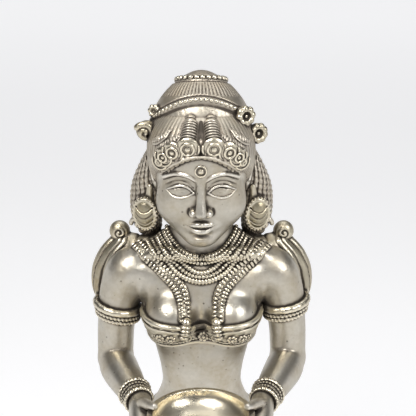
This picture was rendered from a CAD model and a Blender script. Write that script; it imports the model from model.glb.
"""The looks of a cast, silvered-brass statue of a lamp-bearing lady, sculpted over its CAD frame.

Every casting is modelled as clay: a distance field on a grid in millimetres, meshed and scaled to the
frame's metres. Beads, cords and rings are swept and scattered meshes laid on the clay's surface.
"""

import math

import bpy
import numpy as np
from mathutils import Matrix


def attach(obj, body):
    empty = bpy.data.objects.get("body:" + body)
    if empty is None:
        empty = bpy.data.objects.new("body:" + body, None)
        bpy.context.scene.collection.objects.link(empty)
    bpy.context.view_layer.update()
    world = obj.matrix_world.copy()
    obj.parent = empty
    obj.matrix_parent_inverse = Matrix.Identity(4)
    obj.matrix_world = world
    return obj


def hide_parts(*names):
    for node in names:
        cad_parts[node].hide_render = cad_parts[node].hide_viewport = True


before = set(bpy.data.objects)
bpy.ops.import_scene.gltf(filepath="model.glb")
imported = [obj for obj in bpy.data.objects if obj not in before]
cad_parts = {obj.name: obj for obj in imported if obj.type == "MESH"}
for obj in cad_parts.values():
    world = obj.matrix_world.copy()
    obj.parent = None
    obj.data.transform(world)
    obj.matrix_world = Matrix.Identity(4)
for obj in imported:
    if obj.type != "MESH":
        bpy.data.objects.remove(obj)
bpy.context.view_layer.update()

import openvdb
from mathutils import Vector

MM = 0.001
FAR = 9.0  # the distance that empty clay starts with, in mm
SIDES = ((1, "left"), (-1, "right"))
HEAD_PLACE, HEAD_BOW = (-1.0, 173.0), math.radians(9.0)  # the head's y and z in mm, and how far it bows


# ---------------------------------------------------------------- clay


def smooth_min(a, b, k):
    if k <= 0:
        return np.minimum(a, b)
    h = np.maximum(k - np.abs(a - b), 0) / k
    return np.minimum(a, b) - h * h * (k / 4)


def hermite(rows, at):
    """Columns of rows against their first column, smoothly interpolated at the given places."""
    rows = np.array(rows, float)
    z, values = rows[:, 0], rows[:, 1:]
    slope = np.gradient(values, z, axis=0)
    i = np.clip(np.searchsorted(z, at) - 1, 0, len(z) - 2)
    span = (z[i + 1] - z[i])[:, None]
    t = np.clip(((at - z[i])[:, None]) / span, 0, 1)
    a, b = values[i], values[i + 1]
    ma, mb = slope[i] * span, slope[i + 1] * span
    rise = ma * (t**3 - 2 * t**2 + t) + b * (3 * t**2 - 2 * t**3) + mb * (t**3 - t**2)
    return (a * (2 * t**3 - 3 * t**2 + 1) + rise).astype(np.float32)


def curve(points, count, closed=False):
    """Evenly spaced points of a smooth curve through control points, extra columns carried along."""
    p = np.array(points, float)
    if closed:
        p = np.vstack([p[-1:], p, p[:2]])
    else:
        p = np.vstack([2 * p[0] - p[1], p, 2 * p[-1] - p[-2]])
    out = []
    for k in range(1, len(p) - 2):
        t = np.linspace(0, 1, 24, endpoint=False)[:, None]
        a, b, c, d = p[k - 1], p[k], p[k + 1], p[k + 2]
        bend, twist = 2 * a - 5 * b + 4 * c - d, 3 * b - a - 3 * c + d
        out.append(0.5 * (2 * b + (c - a) * t + bend * t**2 + twist * t**3))
    out = np.vstack(out + [p[1:2] if closed else p[-2:-1]])
    run = np.concatenate([[0], np.cumsum(np.linalg.norm(np.diff(out[:, :3], axis=0), axis=1))])
    wanted = np.linspace(0, run[-1], count, endpoint=not closed)
    return np.stack([np.interp(wanted, run, out[:, j]) for j in range(out.shape[1])], axis=1)


def length_of(points):
    return float(np.sum(np.linalg.norm(np.diff(np.array(points)[:, :3], axis=0), axis=1)))


class Clay:
    """A distance field on a grid. Positive outside, in millimetres near the surface."""

    def __init__(self, low, high, step):
        self.low, self.step = np.array(low, float), step
        counts = np.ceil((np.array(high) - self.low) / step).astype(int) + 1
        self.axes = [(self.low[i] + step * np.arange(counts[i])).astype(np.float32) for i in range(3)]
        self.d = np.full(counts, FAR, np.float32)

    def window(self, low, high):
        """The slices of the grid inside a box, or of all of it, with the x, y and z that lie there."""
        if low is None:
            low, high = [a[0] for a in self.axes], [a[-1] + self.step for a in self.axes]
        cuts = tuple(slice(int(np.searchsorted(axis, a)), int(np.searchsorted(axis, b))) for axis, a,
            b in zip(self.axes, low, high))
        x, y, z = (axis[cut] for axis, cut in zip(self.axes, cuts))
        return cuts, x[:, None, None], y[None, :, None], z[None, None, :]

    def add(self, field, low=None, high=None, k=0.0, carve=False):
        """Joins a field of (x, y, z), or carves it away, inside a box."""
        cuts, x, y, z = self.window(low, high)
        if 0 not in (x.size, y.size, z.size):
            f, old = np.asarray(field(x, y, z), np.float32), self.d[cuts]
            self.d[cuts] = -smooth_min(-old, f, k) if carve else smooth_min(old, f, k)

    def press(self, relief):
        """Raises the surface by a relief of (x, y, z), in millimetres."""
        cuts, x, y, z = self.window(None, None)
        self.d[cuts] -= np.asarray(relief(x, y, z), np.float32)

    def blob(self, centre, radii, k=0.5, carve=False, turn=None):
        c = np.array(centre, float)
        r = np.array([radii] * 3 if np.isscalar(radii) else radii, float)
        reach = (r if turn is None else np.full(3, r.max())) + k + 3 * self.step

        def field(x, y, z):
            p = [x - c[0], y - c[1], z - c[2]]
            if turn is not None:
                p = [p[0] * turn[0][j] + p[1] * turn[1][j] + p[2] * turn[2][j] for j in range(3)]
            k0 = np.sqrt(sum((q / s) ** 2 for q, s in zip(p, r)))
            k1 = np.sqrt(sum((q / (s * s)) ** 2 for q, s in zip(p, r)))
            return k0 * (k0 - 1) / np.maximum(k1, 1e-4)

        self.add(field, c - reach, c + reach, k, carve)

    def tube(self, points, k=0.5, carve=False):
        """A chain of round cones through rows of x, y, z, radius."""
        p = np.array(points, float)
        reach = p[:, 3].max() + k + 3 * self.step
        low, high = p[:, :3].min(0) - reach, p[:, :3].max(0) + reach

        def field(x, y, z):
            out = np.full((x.size, y.size, z.size), FAR, np.float32)
            for a, b in zip(p, p[1:]):
                lo, hi = np.minimum(a, b)[:3] - reach, np.maximum(a, b)[:3] + reach
                i = slice(*np.searchsorted(x.ravel(), (lo[0], hi[0])))
                j = slice(*np.searchsorted(y.ravel(), (lo[1], hi[1])))
                m = slice(*np.searchsorted(z.ravel(), (lo[2], hi[2])))
                px, py, pz = x[i] - a[0], y[:, j] - a[1], z[:, :, m] - a[2]
                v = b[:3] - a[:3]
                t = np.clip((px * v[0] + py * v[1] + pz * v[2]) / max(float(v @ v), 1e-9), 0, 1)
                q = np.sqrt((px - v[0] * t) ** 2 + (py - v[1] * t) ** 2 + (pz - v[2] * t) ** 2)
                out[i, j, m] = np.minimum(out[i, j, m], q - (a[3] + (b[3] - a[3]) * t))
            return out

        self.add(field, low, high, k, carve)

    def stack(self, rows, power=2.3, k=0.0):
        """A body of flattened ovals: rows of height, half width, front, back, middle y."""
        top, bottom = rows[-1][0], rows[0][0]

        def field(x, y, z):
            a, f, b, cy = hermite(rows, z.ravel()).T
            dy = y - cy
            depth = np.where(dy > 0, b, f)
            rho = ((np.abs(x) / a) ** power + (np.abs(dy) / depth) ** power) ** (1 / power)
            return np.maximum((rho - 1) * np.minimum(a, (f + b) / 2), np.maximum(z - top, bottom - z))

        self.add(field, k=k)

    def sample(self, points):
        return trilinear(self.d, (np.array(points, float) - self.low) / self.step)

    def normal(self, points):
        e = self.step
        g = np.stack([self.sample(points + e * i) - self.sample(points - e * i) for i in np.eye(3)], axis=1)
        return g / np.maximum(np.linalg.norm(g, axis=1, keepdims=True), 1e-6)

    def snap(self, points, lift=0.0):
        """The nearest places on the surface, lifted off it by some millimetres."""
        p = np.array(points, float)[:, :3].copy()
        for _ in range(14):
            p -= self.normal(p) * np.clip(self.sample(p) - lift, -1, 1)[:, None] * 0.8
        return p

    def mesh(self):
        grid = openvdb.FloatGrid()
        grid.copyFromArray(np.ascontiguousarray(self.d))
        points, quads = grid.convertToQuads(0.0)
        return outward((self.low + points.astype(float) * self.step, quads.astype(np.int64)))


def outward(part):
    """The same closed mesh, wound so that its faces look outwards."""
    v, q = part
    a, b, c, d = (v[q[:, i]] for i in range(4))
    volume = np.einsum("ij,ij->i", a, np.cross(b, c)) + np.einsum("ij,ij->i", a, np.cross(c, d))
    return (v, q) if volume.sum() > 0 else (v, q[:, ::-1])


def trilinear(field, at):
    size = np.array(field.shape)
    at = np.clip(at, 0, size - 1.001)
    i = at.astype(int)
    t = at - i
    out = 0
    for dx in (0, 1):
        for dy in (0, 1):
            for dz in (0, 1):
                w = abs(1 - dx - t[:, 0]) * abs(1 - dy - t[:, 1]) * abs(1 - dz - t[:, 2])
                out = out + w * field[i[:, 0] + dx, i[:, 1] + dy, i[:, 2] + dz]
    return out


def flip(points):
    """The same rows on the other side."""
    p = np.array(points, float).copy()
    p[:, 0] *= -1
    return p


# ---------------------------------------------------------------- swept and scattered meshes


def cube_ball(n=4):
    verts, quads = [], []
    for axis in range(3):
        for side in (-1, 1):
            base = len(verts)
            for i in range(n + 1):
                for j in range(n + 1):
                    a, b = math.tan((2 * i / n - 1) * math.pi / 4), math.tan((2 * j / n - 1) * math.pi / 4)
                    v = np.zeros(3)
                    v[axis], v[(axis + 1) % 3], v[(axis + 2) % 3] = side, a, b
                    verts.append(v / np.linalg.norm(v))
            for i in range(n):
                for j in range(n):
                    q = [base + i * (n + 1) + j, base + (i + 1) * (n + 1) + j]
                    q += [q[1] + 1, q[0] + 1]
                    quads.append(q if side > 0 else q[::-1])
    return np.array(verts), np.array(quads)


BALL = cube_ball(4)


def beads(points, radius, stretch=None, axes=None):
    """Balls at points; radius one or many. stretch is (along, across, out) with axes per point."""
    points = np.atleast_2d(np.array(points, float))[:, :3]
    radius = np.broadcast_to(radius, (len(points),))
    v, q = BALL
    if stretch is None:
        verts = points[:, None, :] + v[None] * radius[:, None, None]
    else:
        scaled = v[None] * np.array(stretch)[None, None] * radius[:, None, None]
        verts = points[:, None, :] + np.einsum("pvj,pjk->pvk", scaled, axes)
        if np.linalg.det(np.array(axes, float)[0]) < 0:
            q = q[:, ::-1]
    quads = q[None] + (np.arange(len(points)) * len(v))[:, None, None]
    return verts.reshape(-1, 3), quads.reshape(-1, 4)


def frames_along(path, out=None, closed=False):
    """Tangent, sideways and outward unit vectors along a path."""
    p = np.array(path, float)[:, :3]
    if closed:
        t = np.roll(p, -1, 0) - np.roll(p, 1, 0)
    else:
        t = np.gradient(p, axis=0)
    t /= np.maximum(np.linalg.norm(t, axis=1, keepdims=True), 1e-9)
    if out is None:
        out = np.tile([0.0, -1.0, 0.001], (len(p), 1))
    side = np.cross(t, out)
    side /= np.maximum(np.linalg.norm(side, axis=1, keepdims=True), 1e-9)
    return t, side, np.cross(side, t)


def sweep(path, radii, out=None, closed=False, wide=1.0, high=1.0, sides=10, ends=True):
    """A tube along a path, wide and high being its section's stretch sideways and outwards."""
    p = np.array(path, float)[:, :3]
    radii = np.broadcast_to(np.array(radii, float), (len(p),)).copy()
    if not closed and ends:
        t0, t1 = p[0] - p[1], p[-1] - p[-2]
        t0, t1 = t0 / np.linalg.norm(t0), t1 / np.linalg.norm(t1)
        steps = np.array([0.5, 0.86, 1.0])
        heads = p[0] + t0 * (steps * radii[0])[:, None]
        tails = p[-1] + t1 * (steps * radii[-1])[:, None]
        shrink = np.array([0.86, 0.5, 0.02])
        p = np.vstack([heads[::-1], p, tails])
        radii = np.concatenate([(shrink * radii[0])[::-1], radii, shrink * radii[-1]])
        if out is not None:
            out = np.vstack([np.repeat(out[:1], 3, 0), out, np.repeat(out[-1:], 3, 0)])
    _, side, up = frames_along(p, out, closed)
    a = np.linspace(0, 2 * math.pi, sides, endpoint=False)
    ring = side[:, None] * (np.cos(a) * wide)[None, :, None] + up[:, None] * (np.sin(a) * high)[None, :, None]
    verts = p[:, None] + ring * radii[:, None, None]
    n, m = len(p), sides
    rows = n if closed else n - 1
    i, j = np.meshgrid(np.arange(rows), np.arange(m), indexing="ij")
    a0, a1 = i * m + j, i * m + (j + 1) % m
    b0, b1 = ((i + 1) % n) * m + j, ((i + 1) % n) * m + (j + 1) % m
    return verts.reshape(-1, 3), np.stack([a0, b0, b1, a1], -1).reshape(-1, 4)


def join(parts):
    verts, quads, count = [], [], 0
    for v, q in parts:
        verts.append(v)
        quads.append(q + count)
        count += len(v)
    return np.vstack(verts), np.vstack(quads)


def mirror(part):
    v, q = part
    v = v.copy()
    v[:, 0] *= -1
    return v, q[:, ::-1]


def both(part):
    return join([part, mirror(part)])


def ribbed(path, radius, pitch, depth, sides=16, wide=1.0, high=1.0, out=None, swing=0.0):
    """A cord whose surface is ringed by ribs, or roped when swing is not zero."""
    run = length_of(path)
    fine = curve(np.c_[np.array(path)[:, :3], np.broadcast_to(radius, (len(path),))],
        max(int(run / pitch * 7), 12))
    s = np.linspace(0, run, len(fine))
    if swing == 0:
        r = fine[:, 3] * (1 - depth * (0.5 - 0.5 * np.cos(2 * math.pi * s / pitch)) ** 1.6)
        return sweep(fine[:, :3], r, out=resample(out, len(fine)), wide=wide, high=high, sides=sides)
    v, q = sweep(fine[:, :3], fine[:, 3], out=resample(out, len(fine)), wide=wide, high=high, sides=sides * 2,
        ends=False)
    n, m = len(fine), sides * 2
    a = np.linspace(0, 2 * math.pi, m, endpoint=False)
    phase = 2 * math.pi * s[:, None] / pitch + swing * a[None]
    scale = 1 - depth * (0.5 - 0.5 * np.cos(phase)) ** 1.4
    v = v.reshape(n, m, 3)
    v = fine[:, None, :3] + (v - fine[:, None, :3]) * scale[..., None]
    return v.reshape(-1, 3), q


def resample(out, count):
    if out is None:
        return None
    i = np.linspace(0, len(out) - 1, count)
    return np.stack([np.interp(i, np.arange(len(out)), np.array(out)[:, j]) for j in range(3)], 1)


def cord_on(clay, points, lift=0.0, count=60):
    """A smooth path through points, laid on the clay's surface, with outward vectors."""
    path = clay.snap(curve(np.array(points, float)[:, :3], count), lift)
    path = clay.snap(path, lift)
    out = clay.normal(path)
    for _ in range(6):
        path[1:-1] = 0.5 * path[1:-1] + 0.25 * (path[:-2] + path[2:])
        out[1:-1] = 0.5 * out[1:-1] + 0.25 * (out[:-2] + out[2:])
    return path, out / np.linalg.norm(out, axis=1, keepdims=True)


def circle(radius, level, count, x=0.0, y=0.0, closed=False):
    """A level ring of points, the last on the first unless it is closed."""
    a = np.linspace(0, 2 * math.pi, count, endpoint=not closed)
    return np.c_[x + radius * np.cos(a), y + radius * np.sin(a), np.full(count, level)]


def around(centre, side, up, radius, count, closed=True):
    """A ring of points about a centre, in the plane of two vectors."""
    a = np.linspace(0, 2 * math.pi, count, endpoint=not closed)
    return centre + (np.cos(a)[:, None] * side + np.sin(a)[:, None] * up) * radius


def coil(x, z, size, shrink, turns, start, count, y, flat=1):
    """A spiral that winds in towards its middle, seen from the front."""
    t = np.linspace(0, 1, count)
    r = size * (1 - shrink * t)
    return np.c_[x + flat * r * np.cos(turns * t + start), y + 0 * t, z + r * np.sin(turns * t + start)]


def slide(clay, points, lift):
    """Points moved level, without changing height, until they lie on the clay."""
    p = np.array(points, float).copy()
    for _ in range(16):
        n = clay.normal(p)
        n[:, 2] = 0
        n /= np.maximum(np.linalg.norm(n, axis=1, keepdims=True), 0.2)
        p -= n * (np.clip(clay.sample(p) - lift, -1, 1) * 0.7)[:, None]
    return p


def front_of(clay, rows, lift=0.0):
    """Rows of x, z, radius carried straight back onto the clay's front, as rows of x, y, z, radius."""
    rows = np.array(rows, float)
    p = np.c_[rows[:, 0], np.full(len(rows), -17.5), rows[:, 1]]
    for _ in range(24):
        p[:, 1] += np.clip(clay.sample(p) - lift, -0.6, 1.2) * 0.85
    return np.c_[p, rows[:, 2]]


# ---------------------------------------------------------------- pieces

PIECES = []  # name, vertices in mm, quads, slot and material, replaced nodes


def piece(name, part, slot_name, *nodes):
    PIECES.append([name, *part, slot_name, nodes])


def head_world(v):
    """From the head's own frame, chin down and face to -Y, to the bowed head's place."""
    x, y, z = v.T
    sin, cos = math.sin(HEAD_BOW), math.cos(HEAD_BOW)
    return np.stack([x, y * cos - z * sin + HEAD_PLACE[0], y * sin + z * cos + HEAD_PLACE[1]], 1)


def on_head(part):
    return head_world(part[0]), part[1]


def centred(rows):
    """Rows of height, half width, front, back as rows for a stack whose ovals are centred."""
    return [(z, a, (f + b) / 2, (f + b) / 2, (b - f) / 2) for z, a, f, b in rows]


# ---------------------------------------------------------------- head and face, in the head's frame


def make_head():
    c = Clay((-14.5, -18, -17.5), (14.5, 13, 16.5), 0.2)
    rows = [(-15.7, 1.5, 9.4, -6.8), (-14.9, 3.4, 11.2, -4.2), (-13.0, 6.1, 12.3, -0.4),
        (-9.8, 8.4, 12.7, 4.2), (-6.0, 9.9, 12.9, 7.6), (-2.0, 10.6, 12.9, 10.4), (2.0, 10.9, 12.9, 11.6),
        (6.0, 10.9, 12.9, 12.0), (9.5, 10.4, 12.0, 12.0), (12.5, 8.6, 9.6, 10.2), (14.6, 5.2, 5.6, 6.4),
        (15.6, 2.2, 2.4, 2.8)]
    c.stack(centred(rows), power=2.2)
    c.blob((0, -11.0, -13.0), (2.9, 2.1, 2.3), 2.4)
    for s in (-1, 1):
        c.blob((s * 5.8, -8.3, -5.2), (4.4, 3.6, 4.8), 3.2)
        c.blob((s * 4.6, -13.9, 0.9), (3.4, 1.9, 1.9), 2.0, carve=True)
    for s in (-1, 1):
        # a calm almond eye: rims raised round a smooth eyeball, a fold above and a thin arched brow
        c.blob((s * 4.7, -8.9, -0.35), (3.3, 3.05, 1.75), 0.6)
        corner, tail = (s * 1.6, -0.45, 0.16), (s * 8.1, -0.55, 0.12)
        crease = [(s * 1.8, 0.75, 0.1), (s * 3.6, 1.95, 0.18), (s * 5.7, 1.95, 0.18), (s * 8.3, 0.5, 0.1)]
        upper = [corner, (s * 3.0, 0.6, 0.27), (s * 4.7, 1.0, 0.32), (s * 6.5, 0.5, 0.27), tail]
        lower = [corner, (s * 3.1, -1.35, 0.2), (s * 4.8, -1.8, 0.22), (s * 6.6, -1.55, 0.18), tail]
        c.tube(curve(front_of(c, crease, 0.05), 30), 0.3, carve=True)
        brow = [(s * 1.35, 2.9, 0.24), (s * 3.3, 4.0, 0.38), (s * 5.8, 3.95, 0.36), (s * 8.9, 1.7, 0.16)]
        c.tube(curve(front_of(c, brow, 0.1), 30), 0.45)
        under = [(s * 1.6, 2.3, 0.08), (s * 3.4, 3.3, 0.15), (s * 5.8, 3.25, 0.15), (s * 8.7, 1.1, 0.08)]
        c.tube(curve(front_of(c, under, 0.02), 30), 0.25, carve=True)
        up_rim, low_rim = curve(front_of(c, upper, 0.1), 30), curve(front_of(c, lower, 0.08), 30)
        for rim, shift in ((up_rim, -0.42), (low_rim, 0.38)):
            groove = rim + np.array([0, 0, shift, 0]) * np.sin(np.linspace(0, math.pi, 30))[:, None]
            groove[:, 3] = 0.19
            c.tube(groove, 0.12, carve=True)
        c.tube(up_rim, 0.12)
        c.tube(low_rim, 0.15)
        # the lowered gaze: a faint disc under the upper rim
        a = np.linspace(math.pi * 1.05, math.pi * 1.95, 14)
        c.tube(front_of(c, np.c_[s * 4.75 + 1.0 * np.cos(a), 0.2 + 1.0 * np.sin(a), np.full(14, 0.1)]), 0.1,
            carve=True)
    c.tube([(0, -12.8, 3.2, 0.6), (0, -13.3, 0.8, 0.85), (0, -14.2, -2.4, 1.05), (0, -14.9, -4.6, 1.35)], 1.3)
    for s in (-1, 1):
        c.blob((s * 1.75, -13.5, -5.2), (1.05, 1.35, 1.0), 0.5)
        c.tube(front_of(c, [(s * 2.75, -4.4, 0.1), (s * 2.9, -5.5, 0.16), (s * 2.4, -6.2, 0.12)]), 0.3,
            carve=True)
        c.blob((s * 0.85, -14.6, -6.0), (0.48, 0.6, 0.38), 0.15, carve=True)
    c.tube([(0, -13.6, -6.9, 0.2), (0, -13.6, -7.9, 0.22)], 0.6, carve=True)
    c.blob((0, -11.6, -9.3), (3.8, 1.7, 1.8), 1.4)
    upper = [(-3.6, -11.9, -9.0, 0.15), (-2.0, -13.0, -8.6, 0.5), (-0.7, -13.5, -8.3, 0.66),
        (0, -13.55, -8.45, 0.6)]
    upper += [(-x, y, z, r) for x, y, z, r in upper[-2::-1]]
    c.tube(curve(upper, 30), 0.35)
    lower = [(-3.1, -12.2, -9.4, 0.25), (-1.5, -13.1, -9.95, 0.66), (0, -13.4, -10.15, 0.82),
        (1.5, -13.1, -9.95, 0.66), (3.1, -12.2, -9.4, 0.25)]
    c.tube(curve(lower, 30), 0.3)
    line = [(-3.8, 0, -8.8, 0.1), (-1.9, 0, -9.15, 0.16), (0, 0, -9.25, 0.17), (1.9, 0, -9.15, 0.16),
        (3.8, 0, -8.8, 0.1)]
    line = curve(line, 30)
    c.tube(front_of(c, line[:, [0, 2, 3]]), 0.2, carve=True)
    c.blob((0, -13.2, -11.6), (2.6, 0.5, 0.5), 1.0, carve=True)
    for s in (-1, 1):
        # long ears with a curled rim
        c.blob((s * 10.9, 1.4, -2.2), (1.5, 2.4, 4.9), 0.8)
        rim = curve([(s * 11.4, -0.6, -3.0, 0.5), (s * 11.9, 0.4, 1.2, 0.6), (s * 12.1, 2.6, 1.6, 0.6),
            (s * 12.1, 3.4, -1.8, 0.55), (s * 12.2, 1.2, -6.5, 0.8), (s * 12.4, 0.0, -9.2, 0.8)], 30)
        c.tube(rim, 0.3)
        c.blob((s * 12.8, 1.3, -1.6), (0.9, 1.2, 2.6), 0.5, carve=True)
    piece("head_casting", on_head(c.mesh()), "skin_brass", "head")

    # the brow mark: a raised drop in a shallow ring
    a = np.linspace(0, 2 * math.pi, 24, endpoint=False)
    ring = front_of(c, np.c_[1.25 * np.cos(a), 5.3 + 1.25 * np.sin(a), np.full(24, 0.25)], 0.05)
    middle = front_of(c, [(0, 5.3, 1)], -0.1)[:, :3]
    mark = [sweep(ring[:, :3], 0.26, closed=True, sides=8), beads(middle, 0.8)]
    piece("brow_mark", on_head(join(mark)), "ornament_brass", "brow_dot")


# ---------------------------------------------------------------- hair


HAIR_ROWS = [(-15.5, 6.8, 0.0, 8.8), (-10.5, 10.4, 1.6, 11.4), (-5.2, 12.2, 3.6, 12.4),
    (0.0, 12.7, 8.6, 13.2), (5.2, 12.8, 13.2, 13.5), (9.3, 12.3, 13.5, 13.4), (12.6, 10.6, 10.9, 11.6),
    (15.0, 7.5, 7.0, 7.8), (16.4, 3.6, 3.0, 3.8)]
BUN = np.array([0, 4.6, 12.8])
COMB_LINES = 92
BUN_HEIGHT, BUN_BACK, BUN_LEAN = 175.0, 62.3, math.radians(20.0)  # along and across its leaning axis


def combed(x, y, z):
    """A relief of combed lines that run up the skull into the bun."""
    angle = np.arctan2(y - BUN[1], x)
    wave = np.abs(np.sin(angle * COMB_LINES / 2 + 0.35 * np.sin(angle * 5)))
    return -0.24 * (1 - wave) ** 2.2 + 0 * z


def on_bun(part):
    """A mesh from the bun's own frame, whose axis leans back, to the world."""
    x, d, t = part[0].T
    u, w = t + BUN_HEIGHT, d - BUN_BACK
    sin, cos = math.sin(BUN_LEAN), math.cos(BUN_LEAN)
    return np.stack([x, u * sin + w * cos, u * cos - w * sin], 1), part[1]


def make_hair():
    c = Clay((-16, -17.5, -17.5), (16, 16, 18.5), 0.2)
    c.stack(centred(HAIR_ROWS), power=2.2)
    # the face shows through an arch
    c.blob((0, -17.0, -6.7), (11.5, 14.8, 15.6), 0.5, carve=True)
    c.press(combed)
    # a soft parting and a rolled hairline
    c.tube([(0, -14.2, 9.2, 0.9), (0, -12.9, 12.0, 1.1), (0, -11.0, 14.0, 1.0), (0, -7.6, 15.9, 0.6)], 0.3,
        carve=True)
    c.tube([(0, -13.6, 9.0, 0.8), (0, -12.1, 11.4, 0.95), (0, -10.2, 13.3, 0.9), (0, -7.2, 15.1, 0.5)], 0.2,
        carve=True)
    for x in (-4.6, 4.6):
        c.tube([(x, -12.1, 11.7, 0.6), (x * 0.98, -10.5, 13.2, 0.7), (x * 0.92, -7.3, 15.1, 0.5)], 0.2,
            carve=True)
    t = np.linspace(-1.25, 1.25, 33)
    x = 11.3 * np.sin(t)
    edge = np.c_[x, -13.6 * np.sqrt(np.maximum(1 - (x / 13.2) ** 2, 0.05)), -6.3 + 15.5 * np.cos(t)]
    c.tube(np.c_[c.snap(edge, 0.1), np.full(33, 0.3)], 0.3)
    # combed hair over the nape, between the side locks
    nape = Clay((-16, -17.5, -22.5), (16, 16, 18.5), 0.2)
    nape.blob((0, 6.8, -11.5), (12.0, 5.2, 9.5), 0)
    nape.press(combed)
    piece("nape_hair", on_head(nape.mesh()), "hair_brass", "hair")
    piece("hair_cap", on_head(c.mesh()), "hair_brass", "hair")

    # the bun: a tall rounded coil, its axis leaning back
    rows = [(-8.0, 9.0), (-4.0, 11.0), (-1.5, 11.4), (0.5, 11.1), (2.3, 10.3), (4.2, 9.0), (5.7, 7.7),
        (7.0, 6.3), (8.1, 4.8), (9.0, 3.2), (9.6, 1.9), (9.9, 0.8)]
    bun = Clay((-12.5, -12, -8.5), (12.5, 12, 11.5), 0.2)
    bun.stack([(t, a, a * 0.92, a * 0.92, 0.0) for t, a in rows], power=2.0)

    def relief(x, y, z):
        angle = np.arctan2(y, x)
        ribs = np.abs(np.sin(angle * 31 + 0.4 * np.sin(angle * 3)))
        zone = np.clip((z - 2.9) * 3, 0, 1) * np.clip((6.5 - z) * 3, 0, 1)
        top, spiral = np.clip((z - 8.1) * 2, 0, 1), np.abs(np.sin(angle * 7))
        low, strands = np.clip((0.6 - z) * 2, 0, 1), np.abs(np.sin(angle * 24 + z * 0.8))
        crown = -0.34 * zone * (1 - ribs) ** 1.4 - 0.16 * top * (1 - spiral) ** 2
        return crown - 0.05 * low * (1 - strands) ** 1.8

    bun.press(relief)

    def hoop(level, radius, out=0.0, n=90):
        """A ring about the bun; level is a number or a function of x."""
        a = np.linspace(0, 2 * math.pi, n)
        x = 10.6 * np.cos(a)
        t = level(x) if callable(level) else np.full(n, float(level))
        r = np.interp(t, *zip(*rows)) + out
        return np.c_[r * np.cos(a), 0.92 * r * np.sin(a), t, np.full(n, radius)]

    def arch(x):
        return 2.1 - 1.65 * (x / 6.8) ** 2

    bun.tube(hoop(6.75, 0.3), 0.2, carve=True)
    bun.tube(hoop(8.3, 0.16), 0.2, carve=True)
    bun.tube(hoop(lambda x: arch(x) + 0.85, 0.3), 0.25, carve=True)
    bun.tube(hoop(lambda x: arch(x) - 0.15, 0.62), 0.4)
    bun.tube(hoop(lambda x: arch(x) - 1.35, 0.3), 0.3, carve=True)
    piece("bun", on_bun(bun.mesh()), "hair_brass", "hair_bun")
    ring = curve(hoop(7.55, 0, 0.15)[:-1, :3], 25, closed=True)
    piece("bun_pearls_upper", on_bun(beads(ring, 0.74)), "ornament_brass", "bun_bead_string_upper")
    ring = curve(hoop(lambda x: arch(x) - 0.15, 0, 0.45)[:-1, :3], 60, closed=True)
    piece("bun_pearls_lower", on_bun(beads(ring, 0.52)), "ornament_brass", "bun_bead_string_lower")
    return c


def make_front_hair(cap):
    # two finely ribbed rolls from the crown to the brow
    points = [(2.35, -6.6, 16.2), (2.5, -9.3, 15.1), (2.6, -11.4, 13.9), (2.7, -12.6, 12.8)]
    path, out = cord_on(cap, points, 0.45)
    radii = np.interp(np.linspace(0, 1, len(path)), [0, 0.25, 0.85, 1], [1.3, 1.65, 1.75, 1.5])
    roll = ribbed(path, radii, 0.66, 0.24, sides=22, wide=1.0, high=0.85, out=out)
    piece("front_rolls", on_head(both(roll)), "hair_brass", "front_roll_left", "front_roll_right")

    # leaves of hair on each temple, hatched across, each over a crisp ridge
    parts = []
    leaves = (([(4.7, -10.5, 14.9), (6.4, -11.5, 13.6), (8.4, -11.5, 12.0), (10.6, -10.0, 9.9)], 1.1),
        ([(7.6, -8.5, 15.2), (9.2, -9.5, 13.9), (10.8, -9.0, 12.2), (12.2, -7.0, 9.9)], 0.85))
    for points, thick in leaves:
        path, out = cord_on(cap, points, 0.1, 30)
        r = thick * np.sin(np.linspace(0.12, math.pi - 0.3, 30)) ** 0.7
        parts.append(ribbed(path, r, 0.75, 0.3, sides=14, wide=1.0, high=0.6, out=out, swing=1.0))
        _, side, _ = frames_along(path, out)
        edge, _ = cord_on(cap, path - side * np.sign(side[:, 2:3]) * r[:, None] * 1.1, 0.2, 30)
        parts.append(sweep(edge, 0.42 * np.sin(np.linspace(0.25, math.pi - 0.25, 30)) ** 0.5, sides=8))
    piece("temple_ribs", on_head(both(join(parts))), "hair_brass", "temple_lock_left", "temple_lock_right")

    # the row of round bosses along the brow, each on a lobe with a raised lower rim
    parts = []
    for x, z, r in ((2.95, 11.2, 1.75), (6.7, 10.3, 1.55), (9.6, 8.4, 1.35), (11.7, 5.8, 1.1)):
        centre = cap.snap(np.array([(x, -13.0, z)]), 0.1)
        out = cap.normal(centre)
        _, side, up = frames_along(np.vstack([centre, centre - (0, 0, 1.0)]), np.repeat(out, 2, 0))
        t, side, up = np.cross(side[0], up[0]), side[0], up[0]
        ring = around(centre, side, t, r - 0.3, 24) + up * 0.55
        parts.append(sweep(ring, np.full(24, 0.34), out=np.repeat(up[None], 24, 0), closed=True, sides=8))
        axes = np.stack([t, side, up])[None]
        parts.append(beads(centre, r * 0.9, stretch=(1, 1, 0.25), axes=axes))
        parts.append(beads(centre - up * 0.15, r + 0.95, stretch=(1, 1, 0.26), axes=axes))
        parts.append(beads(centre + up * 0.25, r * 0.46, stretch=(1, 1, 0.9), axes=axes))
        angles = np.linspace(-0.08 * math.pi, 1.08 * math.pi, 22)
        down = t if t[2] < 0 else -t
        lower_half = np.cos(angles)[:, None] * side + np.sin(angles)[:, None] * down
        parts.append(sweep(centre + lower_half * (r + 0.8) + up * 0.12, 0.36, sides=8))
    piece("brow_bosses", on_head(both(join(parts))), "ornament_brass", "brow_medallions")


# ---------------------------------------------------------------- ears, locks and flowers


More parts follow.
